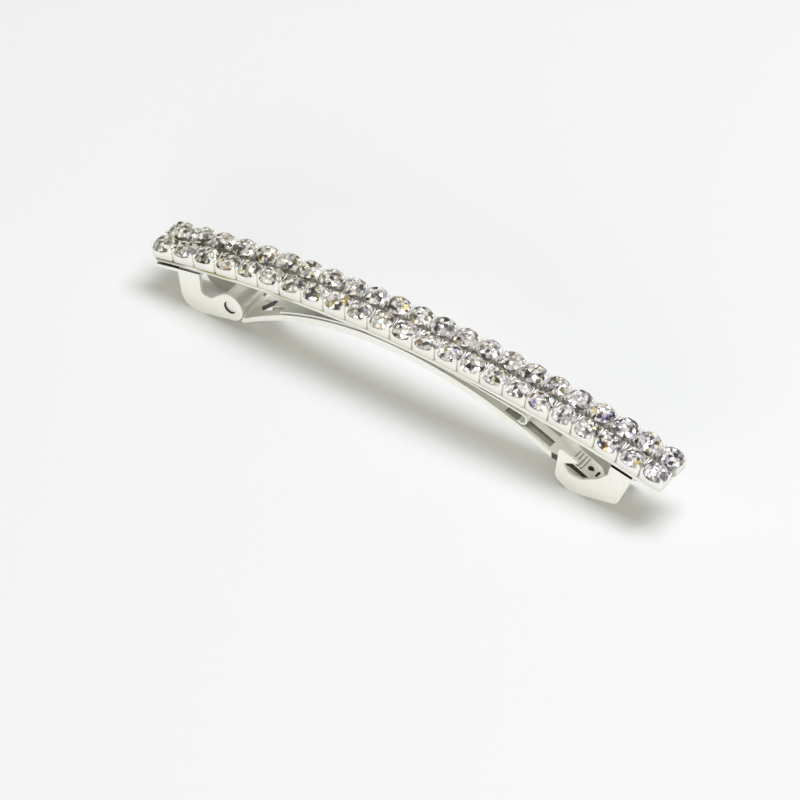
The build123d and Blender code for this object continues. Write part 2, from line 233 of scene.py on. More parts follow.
class Tree:
    """A material's or world's node tree, with short calls to add and join nodes."""

    def __init__(self, tree: bpy.types.NodeTree) -> None:
        """Keeps the tree that nodes are added to."""
        self.tree = tree

    def add(self, kind: str, **values: object) -> bpy.types.Node:
        """Adds a node.

        Args:
            kind: Blender's name of the node.
            values: settings of the node, by the name of the property or input.

        Returns:
            The new node.
        """
        node = self.tree.nodes.new(kind)
        for key, value in values.items():
            label = key.replace("_", " ").title()
            if hasattr(node, key):
                setattr(node, key, value)
            elif isinstance(value, bpy.types.NodeSocket):
                self.tree.links.new(value, node.inputs[label])
            else:
                node.inputs[label].default_value = value
        return node

    def ramp(self, factor: bpy.types.NodeSocket, stops: Sequence[tuple]) -> bpy.types.Node:
        """Adds a colour ramp.

        Args:
            factor: what it reads.
            stops: position and colour of each stop.

        Returns:
            The new node.
        """
        node = self.tree.nodes.new("ShaderNodeValToRGB")
        elements = node.color_ramp.elements
        while len(elements) < len(stops):
            elements.new(0.5)
        for element, (position, colour) in zip(elements, stops):
            element.position = position
            element.color = (*colour, 1.0)
        self.tree.links.new(factor, node.inputs["Fac"])
        return node

    def graded(self, attribute: str, stops: Sequence[tuple]) -> bpy.types.NodeSocket:
        """Reads a number of the surface and turns it into a colour.

        Args:
            attribute: name of the number.
            stops: position and colour of each stop.

        Returns:
            The colour.
        """
        value = self.add("ShaderNodeAttribute", attribute_name=attribute)
        return self.ramp(value.outputs["Fac"], stops).outputs["Color"]

    def vector_math(self, operation: str, *inputs: object) -> bpy.types.Node:
        """Adds a calculation with vectors.

        Args:
            operation: Blender's name of the calculation.
            inputs: a socket or a fixed vector for each input, in order.

        Returns:
            The new node.
        """
        node = self.tree.nodes.new("ShaderNodeVectorMath")
        node.operation = operation
        for socket, value in zip(node.inputs, inputs):
            if isinstance(value, bpy.types.NodeSocket):
                self.tree.links.new(value, socket)
            else:
                socket.default_value = value
        return node

    def mixed(
        self,
        blend: str,
        factor: float | bpy.types.NodeSocket,
        below: bpy.types.NodeSocket,
        above: bpy.types.NodeSocket,
    ) -> bpy.types.NodeSocket:
        """Mixes two colours.

        Args:
            blend: Blender's name of the way of mixing.
            factor: share of the upper colour.
            below: the lower colour.
            above: the upper colour.

        Returns:
            The mixed colour.
        """
        node = self.tree.nodes.new("ShaderNodeMix")
        node.data_type = "RGBA"
        node.blend_type = blend
        inputs = {socket.name: socket for socket in node.inputs if socket.enabled}
        if isinstance(factor, bpy.types.NodeSocket):
            self.tree.links.new(factor, inputs["Factor"])
        else:
            inputs["Factor"].default_value = factor
        self.tree.links.new(below, inputs["A"])
        self.tree.links.new(above, inputs["B"])
        return next(socket for socket in node.outputs if socket.enabled)

    def join(self, source: bpy.types.NodeSocket, target: bpy.types.NodeSocket) -> None:
        """Joins an output to an input."""
        self.tree.links.new(source, target)


def tinted_stops(
    levels: Sequence[tuple], tint: tuple[float, float, float] = WHITE
) -> list[tuple]:
    """Stops of a colour ramp: the tint times the grey of each level."""
    return [(place, tuple(grey * part for part in tint)) for place, grey in levels]


def new_material(name: str) -> tuple[bpy.types.Material, Tree, bpy.types.Node]:
    """Makes a node material.

    Args:
        name: name of the material.

    Returns:
        The material, its tree and its principled shader.
    """
    material = bpy.data.materials.new(name)
    material.use_nodes = True
    shader = material.node_tree.nodes["Principled BSDF"]
    return material, Tree(material.node_tree), shader


@dataclass(frozen=True)
class PlatedFinish:
    """Silver-coloured plating on stamped metal: clear shine, faint clouds, fine handling marks,
    painted shade in gaps and hollows, and an olive tint on some seams.
    """

    name: str
    bright: tuple[float, float, float] = (0.99, 0.98, 0.93)
    dull: tuple[float, float, float] = (0.96, 0.955, 0.90)
    cloud_scale: float = 700.0
    cloud_detail: float = 4.0
    cloud_roughness: float = 0.55
    cloud_levels: tuple[float, float] = (0.30, 0.55)
    mark_scale: float = 1500.0
    mark_detail: float = 1.0
    mark_stretch: tuple[float, float, float] = (0.25, 1.0, 0.6)
    mark_levels: tuple[float, float] = (0.3, 0.7)
    roughness: tuple[float, float] = (0.28, 0.34)
    metallic: float = 0.5
    # Ramp of the painted shade, from none to nearly black
    painted_shade: tuple = ((0.0, WHITE), (0.45, (0.40, 0.39, 0.36)), (1.0, (0.06, 0.055, 0.055)))
    # Ramp of the olive tint on seams
    olive_seam: tuple = ((0.0, WHITE), (1.0, (0.48, 0.48, 0.22)))

    def material(self) -> bpy.types.Material:
        """Makes the finish: clouds drive the colour, marks the gloss, painted shade darkens gaps and
        hollows, and an olive tint marks some seams.

        Returns:
            The material.
        """
        material, tree, shader = new_material(self.name)
        place = tree.add("ShaderNodeTexCoord").outputs["Object"]
        clouds = tree.add(
            "ShaderNodeTexNoise",
            vector=place,
            scale=self.cloud_scale,
            detail=self.cloud_detail,
            roughness=self.cloud_roughness,
        )
        low, high = self.cloud_levels
        colour = tree.ramp(clouds.outputs["Fac"], [(low, self.dull), (high, self.bright)])
        # Painted shade, then the olive seam tint, multiply the colour
        painted_shade = tree.graded(PAINTED_SHADE, self.painted_shade)
        shaded_colour = tree.mixed("MULTIPLY", 1.0, colour.outputs["Color"], painted_shade)
        seam_tinted = tree.mixed("MULTIPLY", 1.0, shaded_colour, tree.graded(OLIVE_SEAM, self.olive_seam))
        tree.join(seam_tinted, shader.inputs["Base Color"])
        stretch = tree.add("ShaderNodeMapping", vector=place)
        stretch.inputs["Scale"].default_value = self.mark_stretch
        marks = tree.add(
            "ShaderNodeTexNoise",
            vector=stretch.outputs["Vector"],
            scale=self.mark_scale,
            detail=self.mark_detail,
        )
        gloss = tree.add("ShaderNodeMapRange")
        tree.join(marks.outputs["Fac"], gloss.inputs["Value"])
        gloss.inputs["From Min"].default_value = self.mark_levels[0]
        gloss.inputs["From Max"].default_value = self.mark_levels[1]
        gloss.inputs["To Min"].default_value = self.roughness[1]
        gloss.inputs["To Max"].default_value = self.roughness[0]
        tree.join(gloss.outputs["Result"], shader.inputs["Roughness"])
        shader.inputs["Metallic"].default_value = self.metallic
        return material


@dataclass(frozen=True)
class CrystalFinish:
    """Clear cut glass on a foil back: the foil under each facet is tilted its own way and reflects,
    and the base colour holds painted reflections, greys per facet and small glints.
    """

    name: str
    shard_scale: float = 2000.0
    scatter: float = 0.5
    # Levels of the painted glints and of their darker rims
    sparkle: tuple = ((0.0, 0.10), (0.15, 0.38), (0.27, 1.0))
    sparkle_tint: tuple[float, float, float] = (1.0, 0.97, 0.96)
    rim: tuple = ((0.0, 1.0), (0.44, 1.0), (0.64, 0.55))
    painted_glint_share: float = 0.95
    metallic: tuple = ((0.0, 0.45), (0.55, 0.0))
    roughness: float = 0.22
    coat_weight: float = 0.15
    coat_roughness: float = 0.04
    coat_ior: float = 1.5

    def material(self) -> bpy.types.Material:
        """Makes the finish: foil that each facet tilts its own way, under a clear glass coat, with
        painted glints and painted facet shade in the base colour.

        Returns:
            The material.
        """
        material, tree, shader = new_material(self.name)
        shade = tree.add("ShaderNodeAttribute", attribute_name=FACET_SHADE)
        foil = tree.add("ShaderNodeAttribute", attribute_name=FOIL_TURN)
        place = tree.add("ShaderNodeTexCoord").outputs["Object"]
        shards = tree.add("ShaderNodeTexVoronoi", vector=place, scale=self.shard_scale)
        split = tree.add("ShaderNodeSeparateColor")
        tree.join(shards.outputs["Color"], split.inputs["Color"])
        # Painted glints: bright foil cells with darker rims stand in for reflections in the base
        # colour
        sparkle = tree.ramp(split.outputs["Red"], tinted_stops(self.sparkle, self.sparkle_tint))
        sparkle.color_ramp.interpolation = "CONSTANT"
        rim = tree.ramp(shards.outputs["Distance"], tinted_stops(self.rim))
        painted_glint = tree.mixed("MULTIPLY", 1.0, sparkle.outputs["Color"], rim.outputs["Color"])
        # Base colour: the painted facet shade times the painted glints
        colour = tree.mixed("MULTIPLY", self.painted_glint_share, shade.outputs["Color"], painted_glint)
        tree.join(colour, shader.inputs["Base Color"])
        scattered = tree.vector_math(
            "MULTIPLY_ADD", shards.outputs["Color"], (self.scatter,) * 3, (-self.scatter / 2,) * 3
        )
        tilt = tree.vector_math("ADD", scattered.outputs["Vector"], foil.outputs["Vector"])
        tree.join(tilt.outputs["Vector"], shader.inputs["Normal"])
        mirrored = tree.ramp(split.outputs["Green"], tinted_stops(self.metallic))
        mirrored.color_ramp.interpolation = "CONSTANT"
        tree.join(mirrored.outputs["Color"], shader.inputs["Metallic"])
        shader.inputs["Roughness"].default_value = self.roughness
        shader.inputs["Coat Weight"].default_value = self.coat_weight
        shader.inputs["Coat Roughness"].default_value = self.coat_roughness
        shader.inputs["Coat IOR"].default_value = self.coat_ior
        return material


@dataclass(frozen=True)
class FloorFinish:
    """Smooth pale floor with a faint tooth, its lift in millimetres."""

    name: str
    colour: tuple[float, float, float] = (0.915, 0.915, 0.915)
    tooth_scale: float = 3000.0
    tooth_detail: float = 2.0
    tooth_strength: float = 0.05
    tooth_lift: float = 0.01
    roughness: float = 0.85
    specular: float = 0.2

    def material(self) -> bpy.types.Material:
        """Makes the finish: a fine noise lifts the floor's tooth.

        Returns:
            The material.
        """
        material, tree, shader = new_material(self.name)
        place = tree.add("ShaderNodeTexCoord").outputs["Object"]
        tooth = tree.add(
            "ShaderNodeTexNoise", vector=place, scale=self.tooth_scale, detail=self.tooth_detail
        )
        bump = tree.add(
            "ShaderNodeBump", strength=self.tooth_strength, distance=self.tooth_lift * MM
        )
        tree.join(tooth.outputs["Fac"], bump.inputs["Height"])
        tree.join(bump.outputs["Normal"], shader.inputs["Normal"])
        shader.inputs["Base Color"].default_value = (*self.colour, 1.0)
        shader.inputs["Roughness"].default_value = self.roughness
        shader.inputs["Specular IOR Level"].default_value = self.specular
        return material


class Slot(Enum):
    """Material slots of the record."""

    PLATING = "plating"
    SPRING_PLATING = "spring_plating"
    CRYSTAL = "crystal"


# The part


@dataclass(frozen=True)
class BowArc:
    """The arch that the bar, the cups and the stones follow."""

    radius: float = 173.8
    crest_height: float = 10.8
    lean: float = 1.0
    count: int = 23
    pitch: float = 3.48
    cup_top: float = 1.90

    @property
    def half_angle(self) -> float:
        """Half of the bar's arc in radians."""
        return self.count * self.pitch / self.radius / 2

    @property
    def centre_x(self) -> float:
        """Place of the arch's middle along the bar."""
        tilt = math.radians(self.lean)
        return (self.radius + self.cup_top) * math.sin(tilt) * math.cos(self.half_angle)

    @property
    def centre_z(self) -> float:
        """Height of the arch's middle, far below the table."""
        return self.crest_height - self.radius * math.cos(math.radians(self.lean))

    def turns(self) -> np.ndarray:
        """Angle of each stone's place from upright, in radians."""
        steps = np.arange(self.count) - (self.count - 1) / 2
        return steps * self.pitch / self.radius - math.radians(self.lean)

    def swept(self, turn: np.ndarray, across: np.ndarray, rise: np.ndarray) -> np.ndarray:
        """Carries points along the arch: x and z go round its middle, and y is kept.

        Args:
            turn: angle of each point from upright.
            across: its y.
            rise: its height above the bar's top face, along the radius.

        Returns:
            The points, with x, y and z last.
        """
        reach = self.radius + rise
        x = self.centre_x + reach * np.sin(turn)
        z = self.centre_z + reach * np.cos(turn)
        return np.stack(np.broadcast_arrays(x, across, z), axis=-1)

    def placed(self, shape: np.ndarray, row_y: float) -> np.ndarray:
        """Sets a copy of a shape on each stone's place, flat on the arch.

        Args:
            shape: points with x along the bar and z out of it.
            row_y: y of the row.

        Returns:
            The points of all copies, one copy after another.
        """
        turn = self.turns()[:, None]
        x = self.centre_x + self.radius * np.sin(turn)
        z = self.centre_z + self.radius * np.cos(turn)
        along = np.cos(turn) * shape[:, 0] + np.sin(turn) * shape[:, 2]
        up = -np.sin(turn) * shape[:, 0] + np.cos(turn) * shape[:, 2]
        across = np.broadcast_to(shape[:, 1] + row_y, along.shape)
        return np.stack([x + along, across, z + up], axis=-1).reshape(-1, 3)


def repeated_faces(faces: list[list[int]], points: int, copies: int) -> list[list[int]]:
    """Repeats the faces of one shape for copies whose points follow one another.

    Args:
        faces: faces of the shape.
        points: number of its points.
        copies: number of copies.

    Returns:
        The faces of all copies.
    """
    return [[index + copy * points for index in face] for copy in range(copies) for face in faces]


@dataclass
class Bar:
    """The arched strip under the cups."""

    arc: BowArc
    finish: bpy.types.Material
    width: float = 5.6
    thickness: float = 0.65
    end_margin: float = 0.35
    corner: float = 0.325
    edge: float = 0.20
    corner_steps: int = 7
    edge_steps: int = 5
    stations: int = 162
    # Painted shade on the upper part of the sides, where the cups meet the bar near the hinge end
    seam_shade: tuple = ((-37.0, 2.6, 0.50),)
    # Olive tint on the upper part of the sides at two seams
    seam_olive: tuple = ((-29.5, 2.8, 1.0), (-18.5, 1.6, 0.8))
    # Painted shade along the lower edge of the sides, where the bar overhangs the tongue and the
    # clasp
    edge_shade: tuple = ((-37.0, 3.2, 0.65), (-6.0, 20.0, 0.85), (33.4, 1.7, 1.0))
    patch_softness: float = 0.4
    side_depth: float = 0.25
    side_softness: float = 0.04
    upper_share: float = 0.6
    lower_share: float = 0.25
    level_softness: float = 0.02
    trough_half_width: float = 0.9
    trough_softness: float = 0.1
    # Painted shade, mottled, on the top face between the rows of cups
    trough_shade: tuple = (0.1, 0.2, 0.4, 0.7)
    mottle_seed: int = 5

    def aging(self, points: np.ndarray, rise: np.ndarray) -> tuple[np.ndarray, np.ndarray]:
        """Painted shade on the bar's sides and between the rows of cups, and an olive tint on two
        seams.

        Each patch is a soft window in x times its strength, on the upper or lower part of a side.

        Args:
            points: the bar's points.
            rise: their heights above the bar's top face.

        Returns:
            The painted shade and the olive tint, each one number from 0 to 1 per point.
        """
        x, y = points[:, 0], np.abs(points[:, 1])
        side = soft_window(y, self.width / 2, self.side_depth, self.side_softness)
        upper = soft_window(rise, 0.0, self.upper_share * self.thickness, self.level_softness)
        lower = soft_window(
            rise, -self.thickness, self.lower_share * self.thickness, self.level_softness
        )
        trough = soft_window(y, 0.0, self.trough_half_width, self.trough_softness)
        # Painted shade at the seam, under the lower edges and, mottled, between the rows
        seams = side * upper * window_sum(x, self.seam_shade, self.patch_softness)
        edges = side * lower * window_sum(x, self.edge_shade, self.patch_softness)
        draws = np.random.default_rng(self.mottle_seed)
        mottled = draws.choice(self.trough_shade, size=len(points))
        # Olive tint on two seams
        olive_seam = side * upper * window_sum(x, self.seam_olive, self.patch_softness)
        return np.clip(seams + edges + mottled * trough, 0, 1), np.clip(olive_seam, 0, 1)

    def build(self) -> bpy.types.Object:
        """Carries a rounded rectangle along the arch and draws it in at the ends.

        The half width at a distance d from an end is w - c + sqrt(c^2 - (c - d)^2) within the
        corner radius c, and w elsewhere, and the cross-section is a rectangle whose corners are
        quarter circles.

        Returns:
            The piece.
        """
        half_length = self.arc.half_angle * self.arc.radius - self.end_margin
        bend = np.linspace(0, math.pi / 2, self.corner_steps)
        near = self.corner * (1 - np.cos(bend))
        even = np.linspace(-half_length, half_length, self.stations)[1:-1]
        runs = np.concatenate([-half_length + near, even, half_length - near[::-1]])
        runs = np.unique(np.round(runs, 5))
        from_end = half_length - np.abs(runs)
        inside = np.clip(self.corner - from_end, 0, None)
        half_width = self.width / 2 - self.corner + np.sqrt(self.corner**2 - inside**2)
        quarter = np.linspace(0, math.pi / 2, self.edge_steps)
        angles = np.concatenate([quarter + step * math.pi / 2 for step in range(4)])
        diagonal = np.repeat(np.arange(4), self.edge_steps) * math.pi / 2 + math.pi / 4
        side = np.sign(np.round(np.cos(diagonal), 3))
        level = np.sign(np.round(np.sin(diagonal), 3))
        offset_y = -side * self.edge + self.edge * np.cos(angles)
        offset_z = level * (self.thickness / 2 - self.edge) + self.edge * np.sin(angles)
        turn = runs[:, None] / self.arc.radius - math.radians(self.arc.lean)
        y = side[None, :] * half_width[:, None] + offset_y[None, :]
        z = -self.thickness / 2 + offset_z[None, :]
        points = self.arc.swept(turn, y, z).reshape(-1, 3)
        columns = len(angles)
        faces = grid_faces(len(runs), columns, True).tolist()
        last = (len(runs) - 1) * columns
        faces.append(list(range(columns))[::-1])
        faces.append([last + index for index in range(columns)])
        bar = make_piece("arched_bar", points, faces, True)
        # Painted shade and the olive seam tint, read by the finish
        painted_shade, olive_seam = self.aging(points, np.tile(z[0], len(runs)))
        add_values(bar.data, PAINTED_SHADE, "POINT", "FLOAT", painted_shade)
        add_values(bar.data, OLIVE_SEAM, "POINT", "FLOAT", olive_seam)
        bar.data.materials.append(self.finish)
        return bar


@dataclass
class CupRow:
    """One row of stamped cups on the strip that joins them."""

    name: str
    arc: BowArc
    finish: bpy.types.Material
    row_y: float
    length: float = 3.42
    width: float = 2.3
    seam: float = 0.03
    wall_height: float = 1.45
    claw_rise: float = 0.64
    claw_spread: float = 0.32
    claw_lean: float = 0.28
    claw_reach: float = 0.34
    petal_spread: float = 0.95
    petal_rise: float = 0.28
    wall: float = 0.24
    squareness: float = 9.0
    rim_clearance: float = 0.05
    girdle_height: float = 1.52
    stone_radius: float = 1.69
    pavilion_depth: float = 1.15
    culet: float = 0.12
    around: int = 64
    strip_half_width: float = 0.6
    strip_thickness: float = 0.2
    strip_stations: int = 90
    # Painted shade per ring, from the foot outside to the bottom inside: dark at the foot and down
    # the inside
    ring_shade: tuple = (0.55, 0.45, 0.12, 0.0, 0.0, 0.0, 0.0, 0.0, 0.4, 0.9, 1.0)
    trough_half_width: float = 0.66
    trough_softness: float = 0.06
    # Painted shade between the rows, mottled
    trough_shade: tuple = (0.0, 0.0, 0.1, 0.25, 0.4, 0.6)
    mottle_seed: int = 7

    def cup(self) -> tuple[np.ndarray, list[list[int]]]:
        """One cup: a wall on a rounded rectangle, with claws that lean over the stone.

        The plan is a superellipse |x/a|^n + |y/b|^n = 1. The rim stands at the wall's height, or
        lower where the stone's cone reaches over it, and rises by a bell curve at each corner. The
        claws on the side of the other row lean out, into the space between four stones. Rings of
        that plan run up the outside, over the rim and down the inside.

        Returns:
            Points and faces of the cup.
        """
        angle = np.linspace(0, 2 * math.pi, self.around, endpoint=False)
        power = 2 / self.squareness
        cosine, sine = np.cos(angle), np.sin(angle)
        plan_x = np.sign(cosine) * np.abs(cosine) ** power
        plan_y = np.sign(sine) * np.abs(sine) ** power
        outer = np.stack([plan_x * self.length / 2, plan_y * self.width / 2], axis=-1)
        inner = np.stack(
            [plan_x * (self.length / 2 - self.wall), plan_y * (self.width / 2 - self.wall)], axis=-1
        )
        corner = np.array([self.length / 2, self.width / 2])
        distance = np.linalg.norm(np.abs(outer) - corner, axis=-1)
        to_row = -math.copysign(1, self.row_y)
        facing = outer[:, 1] * to_row > 0
        claw = np.exp(-((distance / np.where(facing, self.petal_spread, self.claw_spread)) ** 2))
        rise = claw * np.where(facing, self.petal_rise, self.claw_rise)
        slope = self.pavilion_depth / (self.stone_radius - self.culet)
        wall_top = self.seam + self.wall_height

        def rim(plan: np.ndarray) -> np.ndarray:
            """Height of the wall under the stone's cone.

            Args:
                plan: x and y of each point.

            Returns:
                One height per point.
            """
            reach = np.linalg.norm(plan, axis=-1)
            cone = self.girdle_height - (self.stone_radius - reach) * slope - self.rim_clearance
            return np.minimum(wall_top, cone)

        outer_top = rim(outer) + rise
        inner_top = rim(inner) + rise
        reach = np.linalg.norm(outer, axis=-1, keepdims=True)
        inward = -outer / reach * (claw * self.claw_lean)[:, None]
        inward[facing] = np.outer(claw[facing] * self.claw_reach, (0.0, to_row))
        rows = []

        def ring(plan: np.ndarray, height: np.ndarray) -> None:
            """Adds one ring of points."""
            rows.append(np.column_stack([plan, np.broadcast_to(height, len(plan))]))

        ring(outer * 0.96, self.seam)
        ring(outer * 0.99, self.seam + 0.01)
        ring(outer, self.seam + 0.04)
        ring(outer, self.seam + 0.55 * self.wall_height)
        shoulder = outer_top - self.seam - 0.6 * self.wall_height
        ring(outer + 0.15 * inward, outer_top - 0.30 * shoulder)
        ring(outer + 0.75 * inward, outer_top - 0.06)
        ring(0.85 * outer + 0.15 * inner + inward, outer_top)
        ring(0.25 * outer + 0.75 * inner + inward, inner_top)
        ring(inner + 0.9 * inward, inner_top - 0.06)
        ring(inner + 0.2 * inward, inner_top - 0.35)
        ring(inner, self.seam + 0.30)
        points = np.concatenate(rows)
        faces = grid_faces(len(rows), self.around, True).tolist()
        last = (len(rows) - 1) * self.around
        faces.append(list(range(self.around))[::-1])
        faces.append([last + index for index in range(self.around)])
        return points, faces

    def strip(self, first: int) -> tuple[np.ndarray, list[list[int]]]:
        """The strip below the cups: a flat rectangle carried along the arch.

        Args:
            first: number of its first point.

        Returns:
            Points and faces of the strip.
        """
        turns = self.arc.turns()
        turn = np.linspace(turns[0], turns[-1], self.strip_stations)[:, None]
        half = self.strip_half_width
        top = self.seam + self.strip_thickness
        across = np.array([[half, half, -half, -half]]) + self.row_y
        rise = np.array([[self.seam, top, top, self.seam]])
        points = self.arc.swept(turn, across, rise).reshape(-1, 3)
        faces = (grid_faces(self.strip_stations, 4, True) + first).tolist()
        last = first + (self.strip_stations - 1) * 4
        faces.append([first + index for index in (3, 2, 1, 0)])
        faces.append([last + index for index in range(4)])
        return points, faces

    def build(self) -> bpy.types.Object:
        """Sets the cups on the arch and joins them with the strip.

        Returns:
            The piece.
        """
        cup_points, cup_faces = self.cup()
        points = self.arc.placed(cup_points, self.row_y)
        faces = repeated_faces(cup_faces, len(cup_points), self.arc.count)
        strip_points, strip_faces = self.strip(len(points))
        all_points = np.concatenate([points, strip_points])
        row = make_piece(self.name, all_points, faces + strip_faces, True)
        # Painted shade at each cup's foot and inside it, mottled between the rows, and on the whole
        # strip under the cups
        outside = np.tile(np.repeat(self.ring_shade, self.around), self.arc.count)
        draws = np.random.default_rng(self.mottle_seed)
        mottled = draws.choice(self.trough_shade, size=len(outside))
        between = soft_window(points[:, 1], 0.0, self.trough_half_width, self.trough_softness)
        painted_shade = np.clip(np.maximum(outside, mottled * between), 0, 1)
        strip_shade = np.ones(len(strip_points))
        values = np.concatenate([painted_shade, strip_shade])
        add_values(row.data, PAINTED_SHADE, "POINT", "FLOAT", values)
        row.data.materials.append(self.finish)
        return row


@dataclass
class StoneRow:
    """One row of cut stones."""

    name: str
    arc: BowArc
    finish: bpy.types.Material
    row_y: float
    seed: int
    radius: float = 1.69
    girdle_height: float = 1.52
    girdle_thickness: float = 0.10
    crown_height: float = 0.82
    table_radius: float = 0.90
    star_radius: float = 1.27
    star_drop: float = 0.27
    heart_radius: float = 0.45
    pavilion_depth: float = 1.15
    faces_per_step: int = 11
    crown_faces_per_step: int = 7
    tip_spread: float = 1.2
    foil_tilt: tuple[float, float] = (4.0, 42.0)
    facet_share: float = 0.7
    # Painted reflections: random greys per facet and their shares
    greys: tuple = (0.28, 0.66, 1.0)
    grey_shares: tuple = (0.09, 0.13, 0.78)
    # Painted shade on the girdle and the pavilion
    rim_share: float = 0.45
    # Painted shade on facets that face the back
    far_shade: float = 0.36
    end_tints: tuple = ((1.0, 1.0, 0.88), (1.0, 0.965, 0.99))
    # Painted coloured glints on a share of the facets
    tinted_share: float = 0.12
    tint_strength: tuple[float, float] = (0.55, 1.0)
    tints: tuple = (
        (1.0, 0.86, 0.40),
        (1.0, 0.70, 0.40),
        (0.62, 0.60, 1.0),
        (0.80, 0.80, 0.42),
        (0.52, 0.52, 0.30),
        (0.86, 0.78, 1.0),
    )

    def stone(self) -> tuple[np.ndarray, list[list[int]]]:
        """A brilliant: rings of 8 or 16 points from the middle of the table to the culet.

        Each eighth of a turn adds the same faces in the same order, those of the crown first.

        Returns:
            Points and faces of the stone.
        """
        eight = np.arange(8) * math.pi / 4
        half_step = eight + math.pi / 8
        sixteen = np.arange(16) * math.pi / 8
        girdle_top = self.girdle_height + self.girdle_thickness
        top = girdle_top + self.crown_height

        def ring(angle: np.ndarray, radius: float, height: float) -> np.ndarray:
            """Points on a circle."""
            return np.column_stack(
                [radius * np.cos(angle), radius * np.sin(angle), np.full(len(angle), height)]
            )

        points = np.concatenate(
            [
                [[0.0, 0.0, top]],
                ring(half_step, self.heart_radius, top),
                ring(eight, self.table_radius, top),
                ring(half_step, self.star_radius, top - self.star_drop),
                ring(sixteen, self.radius, girdle_top),
                ring(sixteen, self.radius, self.girdle_height),
                [[0.0, 0.0, self.girdle_height - self.pavilion_depth]],
            ]
        )
        heart, table, star, upper, lower = 1, 9, 17, 25, 41
        culet = 57
        faces = []
        for step in range(8):
            following = (step + 1) % 8
            before = (step - 1) % 8
            wide, wide_next = 2 * step, (2 * step + 1) % 16
            far = (2 * step + 2) % 16
            faces.append([0, heart + step, heart + following])
            faces.append([heart + step, heart + before, table + step])
            faces.append([heart + step, table + step, table + following])
            faces.append([table + step, star + step, table + following])
            faces.append([table + step, star + before, upper + wide, star + step])
            faces.append([star + step, upper + wide, upper + wide_next])
            faces.append([star + step, upper + wide_next, upper + far])
            for start in (wide, wide_next):
                end = (start + 1) % 16
                faces.append([upper + start, lower + start, lower + end, upper + end])
                faces.append([lower + start, culet, lower + end])
        return points, faces

    def build(self) -> bpy.types.Object:
        """Sets the stones, each turned and tipped a little its own way, and paints shade on their
        facets.

        Returns:
            The piece.
        """
        rng = np.random.default_rng(self.seed)
        shape, faces = self.stone()
        girdle = np.array([0, 0, self.girdle_height])
        copies = []
        for spin, tip_x, tip_y in zip(
            rng.uniform(0, math.pi / 4, self.arc.count),
            rng.normal(0, self.tip_spread, self.arc.count),
            rng.normal(0, self.tip_spread, self.arc.count),
        ):
            turn = (
                Matrix.Rotation(math.radians(tip_x), 3, "X")
                @ Matrix.Rotation(math.radians(tip_y), 3, "Y")
                @ Matrix.Rotation(spin, 3, "Z")
            )
            copies.append((shape - girdle) @ np.array(turn).T + girdle)
        turns = self.arc.turns()
        points = np.concatenate(
            [
                self.arc.placed(copy, self.row_y).reshape(self.arc.count, -1, 3)[index]
                for index, copy in enumerate(copies)
            ]
        )
        all_faces = repeated_faces(faces, len(shape), self.arc.count)
        row = make_piece(self.name, points, all_faces, False)
        self.shade_facets(row.data, rng, np.repeat(turns, len(faces)))
        row.data.materials.append(self.finish)
        return row

    def shade_facets(
        self, mesh: bpy.types.Mesh, rng: np.random.Generator, turns: np.ndarray
    ) -> None:
        """Gives each facet its painted shade, standing in for the reflections seen in it, and the
        tilt of the foil that is seen through it.

        Args:
            mesh: the row's mesh.
            rng: source of the draws.
            turns: each facet's angle from upright on the arch.
        """
        count = len(mesh.polygons)
        facing = face_vectors(mesh, "normal")
        # Painted reflections: a random grey per facet, darker where it faces the back or lies below
        # the crown
        grey = rng.choice(self.greys, size=count, p=self.grey_shares)
        grey *= 1 - self.far_shade * np.clip(facing[:, 1], 0, 1)
        below_crown = np.arange(count) % self.faces_per_step >= self.crown_faces_per_step
        grey = np.where(below_crown, grey * self.rim_share, grey)
        # Tint along the bar, yellowish at the hinge end and pinkish at the clasp end
        left, right = np.array(self.end_tints)
        along = (turns[:, None] - turns.min()) / np.ptp(turns)
        colour = grey[:, None] * (left + (right - left) * along)
        # Painted coloured glints
        tinted = rng.uniform(size=count) < self.tinted_share
        tint = np.array(self.tints)[rng.integers(0, len(self.tints), count)]
        strength = rng.uniform(*self.tint_strength, (count, 1))
        colour = np.where(tinted[:, None], tint * strength, colour)
        shades = np.column_stack([colour, np.ones(count)])
        add_values(mesh, FACET_SHADE, "FACE", "FLOAT_COLOR", shades)
        tilt = np.radians(rng.uniform(*self.foil_tilt, count))
        bearing = rng.uniform(0, 2 * math.pi, count)
        x = np.sin(tilt) * np.cos(bearing)
        y = np.sin(tilt) * np.sin(bearing)
        z = np.cos(tilt)
        world_x = np.cos(turns) * x + np.sin(turns) * z
        world_z = -np.sin(turns) * x + np.cos(turns) * z
        turned = np.column_stack([world_x, y, world_z]) + self.facet_share * facing
        turned /= np.linalg.norm(turned, axis=1, keepdims=True)
        add_values(mesh, FOIL_TURN, "FACE", "FLOAT_VECTOR", turned)


class Axis(Enum):
    """Axis along which a face looks, by its place in a vector."""

    ACROSS = 1
    UP = 2


@dataclass(frozen=True)
class DarkSpot:
    """Where shade is painted on a sheet piece's plating: faces in a box, in millimetres, that look
    one way.

    The box's y is the distance from the middle plane, on both sides. A face counts where its
    normal's share along the axis, taken outward for y, is between the two limits.
    """

    low: tuple[float, float, float]
    high: tuple[float, float, float]
    axis: Axis
    limits: tuple[float, float]
    painted_shade: float

    def covers(self, centres: np.ndarray, normals: np.ndarray) -> np.ndarray:
        """Tells which faces are dark.

        Args:
            centres: middle of each face in millimetres.
            normals: normal of each face.

        Returns:
            True for each face that is.
        """
        place = np.column_stack([centres[:, 0], np.abs(centres[:, 1]), centres[:, 2]])
        inside = np.all((place > self.low) & (place < self.high), axis=1)
        share = normals[:, self.axis.value]
        if self.axis is Axis.ACROSS:
            share = share * np.sign(centres[:, 1])
        return inside & (share > self.limits[0]) & (share < self.limits[1])


